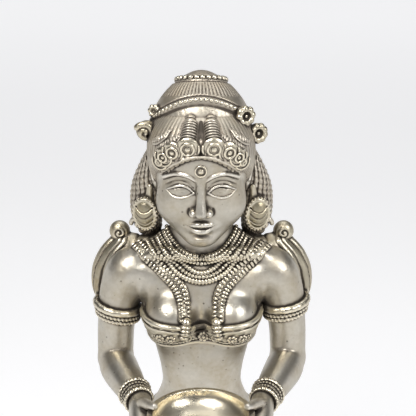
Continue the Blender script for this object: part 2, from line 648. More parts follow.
def blossom(centre, r, count):
    """A flower: a ring of round petals about a sunk throat, facing out and forwards from the head."""
    centre = np.array(centre)
    face = np.array([0.42 * np.sign(centre[0]), -0.86, 0.18])
    face /= np.linalg.norm(face)
    side = np.cross(face, (0, 0, 1.0))
    side /= np.linalg.norm(side)
    up = np.cross(side, face)
    c = Clay(centre - 4.6, centre + 4.6, 0.12)
    c.blob(centre - face * 0.9, (r * 0.85, r * 0.85, 1.3), 0, turn=np.stack([side, up, face], axis=1))
    for k in range(count):
        a = 2 * math.pi * k / count
        radial = side * math.cos(a) + up * math.sin(a)
        c.blob(centre + radial * (r * 0.64) + face * 0.1, r * 0.36, 0.3)
    c.blob(centre + face * 0.9, r * 0.42, 0.2, carve=True)
    return join([c.mesh(), beads([centre + face * 0.1], r * 0.2)])


def make_side_ornaments(cap):
    # ear plugs: a domed oval with a beaded rim and crescent lines
    parts = []
    centre, wide, tall = np.array([13.5, -1.2, -11.9]), 2.95, 4.35
    tilt = np.array([[0.97, 0.24, 0.0], [-0.24, 0.97, 0.0], [0.0, 0.0, 1.0]])

    def at(u, w, out):
        local = np.stack([u, -np.asarray(out) + 0 * u, w], -1)
        return centre + local @ tilt

    a = np.linspace(0, 2 * math.pi, 25)[:-1]
    c = Clay(centre - 6, centre + (6, 6, 9), 0.13)
    c.blob(centre, (wide * 0.93, 2.2, tall * 0.93), 0, turn=tilt.T)
    ring = at(np.cos(a) * wide * 0.86, np.sin(a) * tall * 0.88, np.full(24, 0.55))
    c.tube(np.c_[np.vstack([ring, ring[:1]]), np.full(25, 0.55)], 0.3)
    # crescent lines hang one under another across the dome
    for drop in (0.5, 0.12, -0.26, -0.62):
        b = np.linspace(-1, 1, 15)
        u, w = b * wide * 0.72, tall * (drop - 0.28 * (1 - b * b))
        dome = 2.2 * np.sqrt(np.maximum(1 - (u / wide / 0.93) ** 2 - (w / tall / 0.93) ** 2, 0.02))
        c.tube(np.c_[at(u, w, dome), np.full(15, 0.2)], 0.15, carve=True)
    c.tube([tuple(centre + (-0.8, 0.6, 3.6)) + (0.9,), tuple(centre + (-1.2, 1.0, 6.6)) + (0.8,)], 0.4)
    parts.append(c.mesh())
    dots = at(np.cos(a) * wide * 0.98, np.sin(a) * tall * 0.98, np.full(24, 0.6))
    parts.append(beads(dots, 0.42))
    piece("ear_plugs", on_head(both(join(parts))), "ornament_brass", "ear_plug_left", "ear_plug_right")

    # the wavy side locks behind them
    c = Clay((6, -4, -23.5), (20, 12, 5), 0.2)
    spine = [(11.2, 2.6, 2.6, 2.0), (12.2, 3.2, -2.0, 3.1), (13.0, 3.4, -6.5, 4.0), (13.4, 3.6, -10.5, 4.2),
        (13.5, 4.2, -15.0, 3.9), (13.0, 5.4, -19.0, 3.2)]
    c.tube(curve(spine, 24), 0)

    def strands(x, y, z):
        angle = np.arctan2(y - 3.6, x - 12.8)
        wave = np.abs(np.sin(angle * 9 + 0.9 * np.sin(z * 0.55)))
        return -0.42 * (1 - wave) ** 1.8 - 0.18 * np.abs(np.sin(z * 2.2 + angle * 3)) ** 3

    c.press(strands)
    lock = c.mesh()
    t = np.linspace(0, 1, 40)
    curl = sweep(coil(15.4, -16.6, 1.9, 0.75, 7.5, 0, 40, 2.0), 0.62 - 0.2 * t, sides=10)
    piece("side_locks", on_head(both(join([lock, curl]))), "hair_brass", "side_lock_left", "side_lock_right")

    # flowers over one temple: petal rings round a dark throat
    parts = [blossom((10.2, -2.8, 14.4), 2.5, 8), blossom((13.2, -1.2, 9.3), 2.55, 9)]
    piece("flowers_left", on_head(join(parts)), "ornament_brass", "hair_flowers_left")

    # over the other, a large rolled scroll with a small blossom behind it
    centre = np.array([-13.0, -2.4, 10.2])
    c = Clay(centre - 4.4, centre + 4.4, 0.13)
    c.blob(centre + (0.4, 0.9, -0.1), (2.5, 1.9, 2.5), 0)
    t = np.linspace(0, 1, 60)
    scroll = coil(centre[0], centre[2], 2.1, 0.85, 9.2, 0.6, 60, centre[1] - 0.2 - 0.7 * t, -1)
    c.tube(np.c_[scroll, 0.8 - 0.35 * t], 0.12)
    c.blob(centre + (0.9, -0.9, -0.7), (0.5, 0.9, 0.5), 0.2, carve=True)
    parts = [c.mesh(), blossom((-10.8, 0.4, 14.2), 1.7, 7)]
    piece("flowers_right", on_head(join(parts)), "ornament_brass", "hair_flowers_right")


def make_plait():
    """A long plait that falls from under the bun to the shoulder blades."""
    parts = []
    spine = np.array([(0, 14.6, 168.0), (0, 14.2, 160.0), (0, 12.8, 152.0), (0, 11.2, 144.0),
        (0, 10.4, 137.0), (0, 9.8, 131.0)])
    path = curve(spine, 60)
    _, side, up = frames_along(path, np.tile([0.0, 1.0, 0.0], (60, 1)))
    s = np.linspace(0, 1, 60)
    for strand in range(3):
        phase = strand * 2 * math.pi / 3
        wave = s * 9.5 * math.pi + phase
        width = np.interp(s, [0, 0.15, 1], [1.9, 1.8, 0.9])
        across, outward_by = np.sin(wave) * width, np.sin(2 * wave) * 0.55 * width / 1.8
        p = path + side * across[:, None] + up * outward_by[:, None]
        fine = curve(np.c_[p, width * 0.62], 150)
        parts.append(sweep(fine[:, :3], fine[:, 3], sides=12))
    tip = np.array([(0, 9.8, 131.0), (0, 9.6, 128.6), (0, 9.8, 126.0)])
    parts.append(ribbed(curve(tip, 12), np.linspace(1.5, 1.0, 12), 0.9, 0.25, sides=16))
    piece("plait", join(parts), "hair_brass", "hair")


# ---------------------------------------------------------------- trunk and arms


TRUNK_ROWS = [(104.0, 14.6, 9.0, 10.0, 0.2), (107.5, 13.4, 8.6, 9.4, 0.2), (111.5, 11.2, 7.8, 8.0, 0.2),
    (115.5, 10.0, 7.3, 7.1, 0.1), (120.0, 10.3, 7.4, 7.1, 0.0), (126.0, 11.6, 7.8, 7.6, 0.0),
    (132.0, 13.0, 8.4, 8.1, 0.0), (138.0, 14.9, 8.6, 8.7, 0.1), (143.5, 16.6, 8.5, 9.0, 0.3),
    (147.5, 17.4, 7.6, 8.7, 0.5), (150.6, 14.6, 6.3, 7.8, 0.8), (153.4, 9.4, 5.7, 7.0, 1.0),
    (156.5, 6.7, 5.6, 6.5, 0.9), (160.0, 6.1, 5.7, 6.4, 0.4), (164.5, 6.3, 6.0, 6.6, 0.0)]

ELBOW = (21.9, 0.8, 121.4)
WRIST = (14.6, -19.6, 119.9)


def arm_chain(s):
    upper = [(s * 14.6, 0.9, 149.0, 3.4), (s * 18.0, 1.0, 145.4, 5.4), (s * 19.9, 1.1, 141.0, 5.2),
        (s * 20.9, 1.3, 136.0, 4.85), (s * 21.6, 1.1, 130.0, 4.6), (s * 21.8, 0.7, 125.0, 4.5),
        (s * 21.9, 0.8, 121.6, 4.4)]
    fore = [(s * 21.9, 0.6, 121.4, 4.4), (s * 20.6, -4.2, 121.0, 4.7), (s * 18.4, -10.0, 120.6, 4.2),
        (s * 16.2, -15.6, 120.2, 3.4), (s * 14.7, -19.6, 119.9, 2.9)]
    return upper, fore


def make_trunk():
    c = Clay((-28.5, -17.5, 104.0), (28.5, 12.5, 165.0), 0.26)
    c.stack(TRUNK_ROWS, power=2.35)
    for s in (-1, 1):
        # rounded bust, collar bones, shoulder blades
        c.blob((s * 7.3, -6.2, 136.4), (6.3, 6.7, 6.6), 2.2)
        c.tube([(s * 5.0, -3.4, 141.5, 4.2), (s * 8.5, -2.6, 143.5, 3.6)], 2.5)
        c.tube([(s * 2.2, -6.0, 151.9, 0.6), (s * 8.0, -5.2, 152.3, 0.8), (s * 15.0, -2.0, 150.8, 0.8)], 1.8)
        c.tube([(s * 5.0, 1.6, 156.0, 2.6), (s * 9.5, 1.6, 151.6, 2.6), (s * 14.5, 1.4, 149.2, 2.6)], 2.5)
        c.tube([(s * 5.5, 8.2, 147.0, 0.7), (s * 8.5, 8.0, 139.0, 1.1), (s * 9.5, 7.2, 134.0, 0.8)], 2.6)
        upper, fore = arm_chain(s)
        c.tube(curve(upper, 40), 1.8)
        c.tube(curve(fore, 40), 0.8)
        c.blob((s * 21.9, 3.2, 121.4), (2.6, 2.2, 2.8), 1.6)
        # the armpit fold, open down to the elbow
        c.tube([(s * 14.9, -6.8, 143.0, 0.7), (s * 15.0, -4.5, 138.5, 1.0)], 1.6, carve=True)
    c.tube([(0, 9.6, 150.0, 0.4), (0, 8.9, 138.0, 0.6), (0, 7.6, 122.0, 0.7), (0, 8.4, 110.0, 0.5)], 2.2,
        carve=True)
    c.tube([(0, -11.0, 141.0, 0.5), (0, -10.6, 137.0, 1.3), (0, -9.6, 133.0, 0.6)], 2.2, carve=True)
    c.tube([(0, -8.6, 128.0, 0.2), (0, -8.2, 124.0, 0.3), (0, -8.0, 118.5, 0.2)], 2.0, carve=True)
    c.blob((0, -7.4, 114.8), (0.9, 1.1, 0.9), 0.7, carve=True)
    for z in (157.4, 159.4):
        # soft rings of the neck
        a = np.linspace(math.pi * 1.1, math.pi * 1.9, 24)
        crease = np.c_[6.3 * np.cos(a), 0.6 + 6.3 * np.sin(a), z + 0.5 * np.cos(a) ** 2, np.full(24, 0.14)]
        c.tube(crease, 0.6, carve=True)
    limbs = ("upper_arm_left", "upper_arm_right", "forearm_left", "forearm_right")
    piece("trunk_and_arms", c.mesh(), "skin_brass", "torso", *limbs)
    return c


def make_hands():
    wrist = np.array(WRIST)
    c = Clay((3.5, -35, 112.0), (19.5, -17.0, 127.5), 0.17)
    palm = [tuple(wrist + (0.2, 1.8, 0.1)) + (2.7,), tuple(wrist + (-0.3, -2.2, 0.0)) + (2.8,),
        tuple(wrist + (-0.7, -5.4, -0.4)) + (3.0,), tuple(wrist + (-1.2, -9.0, -1.0)) + (2.8,),
        tuple(wrist + (-1.7, -11.4, -1.5)) + (2.3,)]
    c.tube(curve(palm, 24), 0)
    # four fingers that curl under the bowl, each with its nail
    for k in range(4):
        y = wrist[1] - 5.4 - 2.15 * k
        root = (wrist[0] - 1.2 - 0.3 * k, y, wrist[2] - 1.6, 1.25)
        knuckle = (wrist[0] - 3.4 - 0.5 * k, y - 0.9, wrist[2] - 3.9 + 0.25 * k, 1.18)
        middle = (wrist[0] - 6.2 - 0.5 * k, y - 1.3, wrist[2] - 4.9 + 0.35 * k, 1.05)
        tip = (wrist[0] - 8.9 + 0.35 * abs(k - 1), y - 1.5, wrist[2] - 5.0 + 0.3 * k, 0.82)
        c.tube(curve([root, knuckle, middle, tip], 20), 0.35)
        c.blob((tip[0] - 0.5, tip[1], tip[2] - 0.55), (0.5, 0.5, 0.28), 0.1)
    thumb = [tuple(wrist + (-0.8, -3.0, 1.2)) + (1.5,), tuple(wrist + (-1.3, -5.6, 3.0)) + (1.35,),
        (11.9, -28.2, 124.2, 1.12), (10.6, -30.3, 124.9, 0.85)]
    c.tube(curve(thumb, 20), 0.6)
    c.blob((10.6, -30.4, 125.6), (0.55, 0.6, 0.3), 0.1)
    piece("hand_pair", both(c.mesh()), "skin_brass", "hand_left", "hand_right")


LAMP_MIDDLE, LAMP_RIM, LAMP_RADIUS, LAMP_SPOUT, LAMP_DEPTH = -31.0, 123.6, 12.3, 17.6, 7.2


def make_lamp():
    """A round oil lamp drawn out into a spout at the front, shown empty, on a foot ring."""
    c = Clay((-14, -51, 114.5), (14, -16.5, 125.5), 0.22)

    def bowl(less):
        """The lamp's outside, or its well when it is less by the thickness of the metal."""
        radius = LAMP_RADIUS - less

        def field(x, y, z):
            dy = y - LAMP_MIDDLE
            lip = np.clip((-dy - 4.0) / 14.0, 0, 1)
            reach = np.where(dy < 0, LAMP_SPOUT - less * 1.3, radius)
            edge = np.sqrt(np.maximum(1 - np.clip(dy / reach, -1, 1) ** 2, 1e-4))
            spout = edge * (1 - lip) * radius + lip * (2.6 - less * 0.6) * edge**0.6
            width = np.where(dy < 0, np.maximum(spout, 0.3), edge * radius)
            inside = np.clip(np.abs(x) / width, 0, 3)
            depth = (LAMP_DEPTH - less) * np.sqrt(np.maximum(1 - np.clip(dy / reach, -1, 1) ** 2, 0)) ** 0.9
            low = LAMP_RIM - depth * np.sqrt(np.maximum(1 - inside**2, 0)) ** 0.9
            out = np.maximum((inside - 1) * width * 0.8, np.abs(dy) - reach)
            return np.maximum(np.maximum((low - z) * 0.7, z - LAMP_RIM - (2.0 if less else 0.0)), out)

        return field

    c.add(bowl(0.0))
    c.add(bowl(1.25), carve=True, k=0.2)
    foot = circle(4.3, 116.6, 40, 0.0, LAMP_MIDDLE, closed=True)
    foot_ring = sweep(foot, np.full(40, 0.75), closed=True, sides=12)
    piece("oil_lamp", join([c.mesh(), foot_ring]), "lamp_brass", "lamp_bowl")


# ---------------------------------------------------------------- jewellery of the chest and arms


def row_of_beads(clay, points, radius, pitch, lift):
    """A row of beads along a path laid on the clay."""
    run = length_of(curve(np.array(points, float)[:, :3], 60))
    path, _ = cord_on(clay, points, lift, max(int(run / pitch), 4))
    return beads(clay.snap(path, lift), radius)


def make_necklaces(trunk):
    # the close collar: bead rows and toothed cords, each hung lower and wider than the last
    inner = np.array([(7.6, 1.2, 156.2), (6.9, -3.0, 155.0), (5.0, -5.8, 153.6), (2.6, -7.0, 152.5),
        (0, -7.4, 152.1)])
    outer = np.array([(13.2, 0.6, 153.2), (11.2, -4.4, 151.9), (7.9, -7.4, 150.0), (4.0, -8.8, 147.6),
        (0, -9.4, 146.6)])
    names = ("necklace_inner", "necklace_middle", "necklace_outer")
    for k, name in enumerate(names):
        parts = []
        for j in range(2):
            share = (2 * k + j) / 5
            half = inner * (1 - share) + outer * share
            points = np.vstack([half, flip(half[:-1])[::-1]])
            if j:
                path, out = cord_on(trunk, points, 0.3, 110)
                parts.append(ribbed(path, 0.62 + 0.1 * share, 0.8, 0.32, sides=16, wide=1.15, high=0.85,
                    out=out))
            else:
                parts.append(row_of_beads(trunk, points, 0.56, 0.86, 0.4))
        piece(name, join(parts), "ornament_brass", name)

    # two long double strands that fall between the breasts and end in tassels
    for s, label in SIDES:
        points = [(s * 15.6, 0.6, 152.2), (s * 13.0, -3.6, 151.0), (s * 10.2, -6.4, 149.4),
            (s * 7.3, -8.2, 147.0), (s * 5.1, -9.0, 144.9), (s * 4.2, -9.6, 142.4), (s * 4.0, -11.0, 140.0),
            (s * 4.1, -11.8, 137.8)]
        path, out = cord_on(trunk, points, 0.45, int(length_of(curve(points, 60)) / 0.98))
        t, side, up = frames_along(path, out)
        axes = np.stack([t, side, up], axis=1)
        lozenge = {"stretch": (0.64, 1.1, 0.8), "axes": axes}
        rows = [beads(path + side * shift, 0.78, **lozenge) for shift in (-0.84, 0.84)]
        path, out = cord_on(trunk, points, 0.1, 80)
        bed = sweep(path, np.full(80, 1.0), out=out, wide=1.7, high=0.5, sides=12)
        end = trunk.snap(np.array([(s * 4.1, -11.8, 137.4), (s * 4.2, -12.0, 136.4), (s * 4.3, -12.0, 135.2),
            (s * 4.4, -12.0, 134.2)]), 0.7)
        swell = np.interp(np.linspace(0, 1, 20), [0, 0.3, 1], [1.3, 1.6, 1.35])
        tassel = ribbed(curve(end, 20), swell, 0.9, 0.28, sides=16)
        piece(f"long_strand_{label}", join(rows + [bed, tassel]), "ornament_brass", f"long_strand_{label}")


def rosette(centre, out, radius, count):
    """A stud: a ring of round petals and a ball on a low disc, facing outwards."""
    out = np.array(out, float) / np.linalg.norm(out)
    side = np.cross(out, (0, 0, 1.0))
    side /= max(np.linalg.norm(side), 1e-6)
    up = np.cross(side, out)
    axes = np.repeat(np.stack([side, up, out])[None], count, 0)
    petals = beads(around(centre, side, up, radius * 0.64, count), radius * 0.36, stretch=(1, 1, 0.75),
        axes=axes)
    disc = beads([centre - out * 0.1 * radius], radius * 0.75, stretch=(1, 1, 0.4), axes=axes[:1])
    return join([petals, disc, beads([centre + out * radius * 0.18], radius * 0.34)])


def make_breast_band(trunk):
    """A laced bodice under the bust: piped edges, flower studs and a scrolled clasp in the middle."""
    low_edge = 130.6

    def top_edge(x):
        return 136.0 + 1.5 * np.clip((np.abs(x) - 4.5) / 8.0, 0, 1) ** 0.8 - 0.9 * np.exp(-((x / 3.0) ** 2))

    c = Clay((-17.5, -16.5, 129.0), (17.5, 11.5, 140.5), 0.2)
    grid = np.stack(np.meshgrid(*c.axes, indexing="ij"), -1)
    base = trilinear(trunk.d, ((grid - trunk.low) / trunk.step).reshape(-1, 3)).reshape(grid.shape[:3])
    x, y, z = grid[..., 0], grid[..., 1], grid[..., 2]
    top = np.where(y < 0, top_edge(x), 137.5)
    band = np.maximum(np.abs(base - 0.1) - 0.5, np.maximum(z - top, low_edge - z))
    c.d = np.maximum(band, np.abs(x) - 15.0).astype(np.float32)
    c.press(lambda x, y, z: 0.12 * np.maximum(0, np.sin(x * 2.6 + 1.6 * np.sin(z * 1.9))))
    piece("breast_band", c.mesh(), "cloth_brass", "breast_band")

    parts = []
    edges = ((top_edge, 0.62, False), (lambda x: top_edge(x) - 1.35, 0.42, False),
        (lambda x: low_edge + 0.2 + 0 * x, 0.6, False), (lambda x: low_edge + 1.2 + 0 * x, 0.36, True))
    for edge, r, roped in edges:
        xs = np.linspace(-13.9, 13.9, 150)
        p = np.c_[xs, -13.5 + 0.045 * xs**2, edge(xs)]
        p = slide(trunk, p, 0.6)
        p = p[trunk.sample(p) > 0.2]
        parts.append(ribbed(p, r, 0.9, 0.3, sides=10, swing=1.0) if roped else sweep(p, r, sides=12))
    # the same edges round the back
    for level, r in ((137.4, 0.6), (136.0, 0.4), (low_edge + 0.2, 0.6), (low_edge + 1.3, 0.4)):
        xs = np.linspace(-13.9, 13.9, 90)
        p = slide(trunk, np.c_[xs, 9.0 - 0.02 * xs**2, np.full(90, level)], 0.7)
        for _ in range(8):
            p[1:-1] = 0.5 * p[1:-1] + 0.25 * (p[:-2] + p[2:])
        parts.append(sweep(p, r, sides=12))
    studs = []
    for x0 in (-12.7, -10.2, -7.4, 7.4, 10.2, 12.7):
        centre = slide(trunk, np.array([(x0, -13.0, 133.2)]), 0.7)[0]
        out = trunk.normal(centre[None])[0]
        studs.append(rosette(centre, out, 1.35, 7) if abs(x0) < 12 else rosette(centre, out, 1.0, 6))
    clasp = slide(trunk, np.array([(0, -13.0, 132.4)]), 0.9)[0]
    studs.append(rosette(clasp, np.array([0, -1.0, 0.0]), 1.5, 7))
    for s in (-1, 1):
        for x0, z0, size in ((2.9, 132.0, 1.35), (2.2, 134.6, 0.95)):
            curl = slide(trunk, coil(s * x0, z0, size, 0.8, 7, 0.6, 36, -11.0, s), 0.6)
            studs.append(sweep(curl, np.linspace(0.44, 0.24, 36), sides=10))
    piece("band_piping", join(parts), "cloth_brass", "breast_band")
    piece("band_studs", join(studs), "ornament_brass", "breast_band_studs")


def make_arm_rings():
    for s, label, drop in ((1, "left", 0.3), (-1, "right", -0.6)):
        # the armlet: a plain roll, a roped ring and a toothed ring, higher on the outer side
        centre, tilt = np.array([s * 21.05, 1.2, 135.5 + drop]), s * 0.2
        parts = []
        for level, r, swell, kind in ((-1.5, 5.1, 0.62, 0.28), (-0.35, 5.2, 0.68, 0.34),
                (1.1, 5.25, 0.98, 0.07)):
            p = circle(r, level, 120)
            p[:, 2] += p[:, 0] * math.tan(tilt)
            parts.append(ribbed(centre + p, swell, 0.95 if kind > 0.1 else 1.9, kind, sides=9, swing=1))
        piece(f"armlet_{label}", join(parts), "ornament_brass", f"armlet_{label}")

        # bangles on the wrist, and a bead row above them
        wrist, elbow = np.array(WRIST) * (s, 1, 1), np.array(ELBOW) * (s, 1, 1)
        along = (elbow - wrist) / np.linalg.norm(elbow - wrist)
        side = np.cross(along, (0, 0, 1.0))
        side /= np.linalg.norm(side)
        up = np.cross(side, along)
        parts = []
        for k, (r, w) in enumerate(((3.2, 0.62), (3.32, 0.5), (3.45, 0.5), (3.6, 0.62))):
            p = around(wrist + along * (1.1 + 1.15 * k), side, up, r, 60, closed=False)
            if k in (1, 2):
                parts.append(beads(curve(p[:-1], 28, closed=True), w * 0.85))
            else:
                parts.append(ribbed(p, w, 0.9, 0.25, sides=9, swing=1))
        piece(f"bangles_{label}", join(parts), "ornament_brass", f"bangles_{label}")


def make_shoulder_drapes(trunk):
    for s, label in SIDES:
        # a roll of cloth that crosses behind the shoulder and ends in a rounded scroll
        low = (min(s * 3, s * 26), -1.5, 144)
        c = Clay(low, (max(s * 3, s * 26), 12.5, 160), 0.2)
        roll = [(s * 5.5, 3.6, 155.6, 1.8), (s * 9.5, 4.6, 152.4, 2.3), (s * 14.0, 6.0, 150.6, 2.2),
            (s * 18.4, 7.4, 151.0, 2.0)]
        c.tube(curve(roll, 40), 0)
        c.tube([(s * 9.0, 5.0, 150.5, 3.0), (s * 16.5, 5.8, 149.0, 3.0), (s * 20.4, 6.4, 149.0, 2.0)], 1.5)
        centre = np.array([s * 20.5, 7.4, 153.4])
        c.blob(centre, (2.6, 2.2, 2.7), 0.5)

        def folds(x, y, z):
            across = np.abs(np.sin(1.05 * (x * s) + 0.5 * z + 0.25 * y))
            zone = np.clip((17.6 - x * s) / 2, 0, 1)
            return -0.4 * zone * (1 - across) ** 2

        c.press(folds)
        front = centre[1] - 1.75 - 0.25 * np.linspace(0, 1, 60)
        groove = coil(centre[0], centre[2], 1.75, 0.85, 8.5, 2.0, 60, front, s)
        c.tube(np.c_[groove, np.full(60, 0.2)], 0.3, carve=True)
        piece(f"shoulder_scroll_{label}", c.mesh(), "cloth_brass", f"shoulder_knot_{label}")
        # the shawl fold: a broad smooth band behind the arm, pleated along its length
        c = Clay((min(s * 15, s * 30), 1, 131), (max(s * 15, s * 30), 13, 154.5), 0.22)
        fold = [(s * 20.6, 8.0, 151.4, 1.7), (s * 23.0, 7.6, 148.6, 2.3), (s * 24.8, 7.0, 144.4, 2.7),
            (s * 25.4, 6.2, 140.0, 2.5), (s * 24.9, 5.4, 136.2, 1.9), (s * 23.6, 4.8, 133.2, 0.9)]
        c.tube(curve(fold, 40), 0)
        c.tube(curve([(s * 19.5, 6.6, 150.4, 2.4), (s * 21.6, 5.6, 146.0, 3.0), (s * 22.4, 5.0, 140.5, 2.8),
            (s * 22.4, 4.6, 135.6, 1.4)], 30), 1.0)
        heights, middles = [row[2] for row in fold][::-1], [row[0] * s for row in fold][::-1]

        def pleats(x, y, z):
            across = np.abs(np.sin(1.25 * (x * s - np.interp(z, heights, middles)) + 0.75 * y))
            return -0.42 * (1 - across) ** 2.2

        c.press(pleats)
        piece(f"shawl_{label}", c.mesh(), "cloth_brass", f"back_shawl_{label}")


# ---------------------------------------------------------------- skirt, girdle, falls and feet


def make_skirt():
    c = Clay((-19.5, -14.5, 33.0), (19.5, 14.5, 109.5), 0.3)
    for s in (-1, 1):
        leg = [(s * 6.9, 0.4, 33.5, 3.6), (s * 6.9, 0.4, 39.5, 3.7), (s * 6.9, 0.9, 48.0, 4.9),
            (s * 6.9, 1.0, 55.0, 5.8), (s * 6.7, -0.4, 64.0, 5.6), (s * 6.6, -1.1, 69.0, 5.9),
            (s * 7.0, -0.6, 78.0, 7.3), (s * 7.0, -0.1, 88.0, 8.6), (s * 6.6, 0.2, 97.0, 8.8)]
        c.tube(curve(leg, 60), 1.6)
    hips = [(82.0, 13.4, 7.6, 8.8, 0.2), (87.0, 14.9, 8.8, 10.2, 0.3), (92.0, 15.5, 9.4, 11.2, 0.4),
        (97.0, 15.5, 9.6, 11.3, 0.4), (102.0, 14.9, 9.4, 10.6, 0.3), (106.0, 13.9, 8.9, 9.8, 0.2),
        (109.0, 13.0, 8.5, 9.3, 0.2)]
    c.stack(hips, power=2.3, k=3.0)
    for s in (-1, 1):
        c.blob((s * 5.9, 6.4, 92.5), (6.2, 5.2, 6.6), 2.4)
    c.tube([(0, -8.5, 96.0, 0.3), (0, -7.5, 84.0, 0.6), (0, -5.0, 70.0, 0.4)], 3.0, carve=True)
    # the web of cloth that joins the legs
    def web(x, y, z):
        return np.maximum(np.maximum(np.abs(x) - 5.0, np.abs(y + 0.4) - 1.7), np.maximum(z - 84, 41.5 - z))

    c.add(web, (-6, -4, 40), (6, 4, 86), 2.4)

    def folds(x, y, z):
        """Wrapped cloth: slanting U-shaped folds on each thigh and calf, and a hem border."""
        side = np.abs(x) - 6.9
        sag = z + 0.16 * side**2 + 1.8 * np.sin(np.arctan2(y, side))
        wave, fine = np.abs(np.sin(sag * 0.47)), np.abs(np.sin(sag * 0.94 + 0.8))
        zone = np.clip((100 - z) / 4, 0, 1) * np.clip((z - 46) / 3, 0, 1)
        hem = np.clip(1 - np.abs(z - 42.5) / 0.5, 0, 1) + np.clip(1 - np.abs(z - 45.2) / 0.4, 0, 1)
        return zone * (0.22 * (1 - wave) ** 2 - 0.32 * (1 - fine) ** 4) + 0.3 * hem * (z < 47) * (z > 40)

    c.press(folds)
    piece("skirt_and_legs", c.mesh(), "cloth_brass", "legs_and_skirt")
    # a dotted hem between its two lines, and flowers scattered on the cloth
    parts = []
    for s in (-1, 1):
        ring = circle(5.0, 43.85, 22, s * 6.9, 0.5, closed=True)
        parts.append(beads(slide(c, ring[np.abs(ring[:, 0]) > 3.4], 0.0), 0.42))
        for z, turn in ((52, -0.5), (58, 0.45), (64, -0.5), (73, 0.5), (80, -0.45), (87, 0.4), (94, 0.95),
                (60, 2.4), (72, 3.2), (84, 2.5), (94, 2.9)):
            depth = (-8 if abs(turn) < 1.5 else 9) * abs(math.cos(turn))
            p = np.array([[s * (6.9 + 5 * math.sin(turn)), depth, z]])
            p = c.snap(p, 0.0)
            parts.append(rosette(p[0], c.normal(p)[0], 0.95, 5))
    piece("skirt_flowers", join(parts), "cloth_brass", "legs_and_skirt")
    return c


def oval_ring(rows, level, count=160):
    at = hermite(rows, np.array([level]))[0]
    a = np.linspace(0, 2 * math.pi, count)
    e = 2 / 2.3
    x = at[0] * np.sign(np.cos(a)) * np.abs(np.cos(a)) ** e
    depth = np.where(np.sin(a) > 0, at[2], at[1])
    return np.c_[x, at[3] + depth * np.sign(np.sin(a)) * np.abs(np.sin(a)) ** e, np.full(count, level)]


def make_girdle(skirt):
    rows = [(98.0, 15.6, 9.7, 11.4, 0.4), (102.0, 15.2, 9.8, 11.0, 0.3), (105.0, 14.7, 9.5, 10.4, 0.2),
        (108.0, 13.9, 9.0, 9.8, 0.2)]
    parts = [ribbed(oval_ring(rows, 106.9), 0.7, 1.3, 0.35, sides=9, swing=1),
        sweep(oval_ring(rows, 105.6), np.full(160, 0.62), sides=12, ends=False),
        beads(curve(oval_ring(rows, 104.4)[:-1], 74, closed=True), 0.68),
        sweep(oval_ring(rows, 103.2), np.full(160, 0.62), sides=12, ends=False),
        ribbed(oval_ring(rows, 102.1), 0.62, 1.3, 0.35, sides=9, swing=-1)]
    piece("girdle", join(parts), "ornament_brass", "girdle")

    centre = np.array([0, -10.7, 104.4])
    parts = [rosette(centre, (0, -1, 0), 2.9, 10), rosette(centre + (0, -0.9, 0), (0, -1, 0), 1.5, 8)]
    ring = around((0, -10.9, 104.4), np.eye(3)[0], np.eye(3)[2], 3.1, 40, closed=False)
    parts.append(ribbed(ring, 0.42, 0.8, 0.3, sides=9, swing=1))
    piece("girdle_clasp", join(parts), "ornament_brass", "girdle_clasp")

    # swags of beads on the thighs, each hung with a small bell
    parts = []
    for x0, x1, drop, r in ((2.6, 8.6, 5.4, 0.5), (2.2, 10.6, 9.4, 0.55), (8.6, 13.8, 5.0, 0.5)):
        t = np.linspace(0, 1, 9)
        p = np.c_[x0 + (x1 - x0) * t, -10.0 + 0.04 * (x0 + (x1 - x0) * t) ** 2,
            101.8 - drop * np.sin(math.pi * t) ** 0.85]
        parts.append(row_of_beads(skirt, p, r, r * 1.9, 0.35))
        low = skirt.snap(np.array([[(x0 + x1) / 2, -10.0, 101.2 - drop]]), 0.7)[0]
        bell = curve([tuple(low) + (0.5,), tuple(low - (0, 0.1, 1.0)) + (0.85,),
            tuple(low - (0, 0.1, 2.1)) + (1.05,)], 8)
        parts.append(sweep(bell[:, :3], bell[:, 3], sides=12))
        parts.append(beads([low - (0, 0.1, 3.3)], 0.5))
    piece("thigh_swags", both(join(parts)), "ornament_brass", "thigh_swags_left", "thigh_swags_right")


def pleated(path, widths, out, pleats, depth, thickness, across=40):
    """A cloth strip with pleats along it: a closed slab whose front and back ripple across its width."""
    p = np.array(path, float)
    _, side, up = frames_along(p, np.array(out, float))
    u = np.linspace(-1, 1, across)
    ripple = depth * (np.abs(np.sin(u * pleats * math.pi / 2)) - 0.5)
    edge = np.sqrt(np.maximum(1 - np.abs(u) ** 6, 0.0))
    n = len(p)
    grow = np.linspace(0.75, 1.15, n)
    front = p[:, None] + side[:, None] * (u[None, :, None] * np.array(widths)[:, None, None] / 2)
    rise = (ripple[None] * grow[:, None] + thickness / 2 * edge[None])[..., None]
    fall = (ripple[None] * grow[:, None] * 0.7 - thickness / 2 * edge[None])[..., None]
    a, b = front + up[:, None] * rise, front + up[:, None] * fall
    verts = np.concatenate([a, b[:, ::-1]], axis=1)
    m = verts.shape[1]
    i, j = np.meshgrid(np.arange(n - 1), np.arange(m), indexing="ij")
    k = (j + 1) % m
    quads = np.stack([i * m + j, (i + 1) * m + j, (i + 1) * m + k, i * m + k], -1).reshape(-1, 4)
    caps = []
    for base in (0, (n - 1) * m):
        for j in range(across - 1):
            q = [base + j, base + j + 1, base + m - 2 - j, base + m - 1 - j]
            caps.append(q if base == 0 else q[::-1])
    return outward((verts.reshape(-1, 3), np.vstack([quads, caps])))


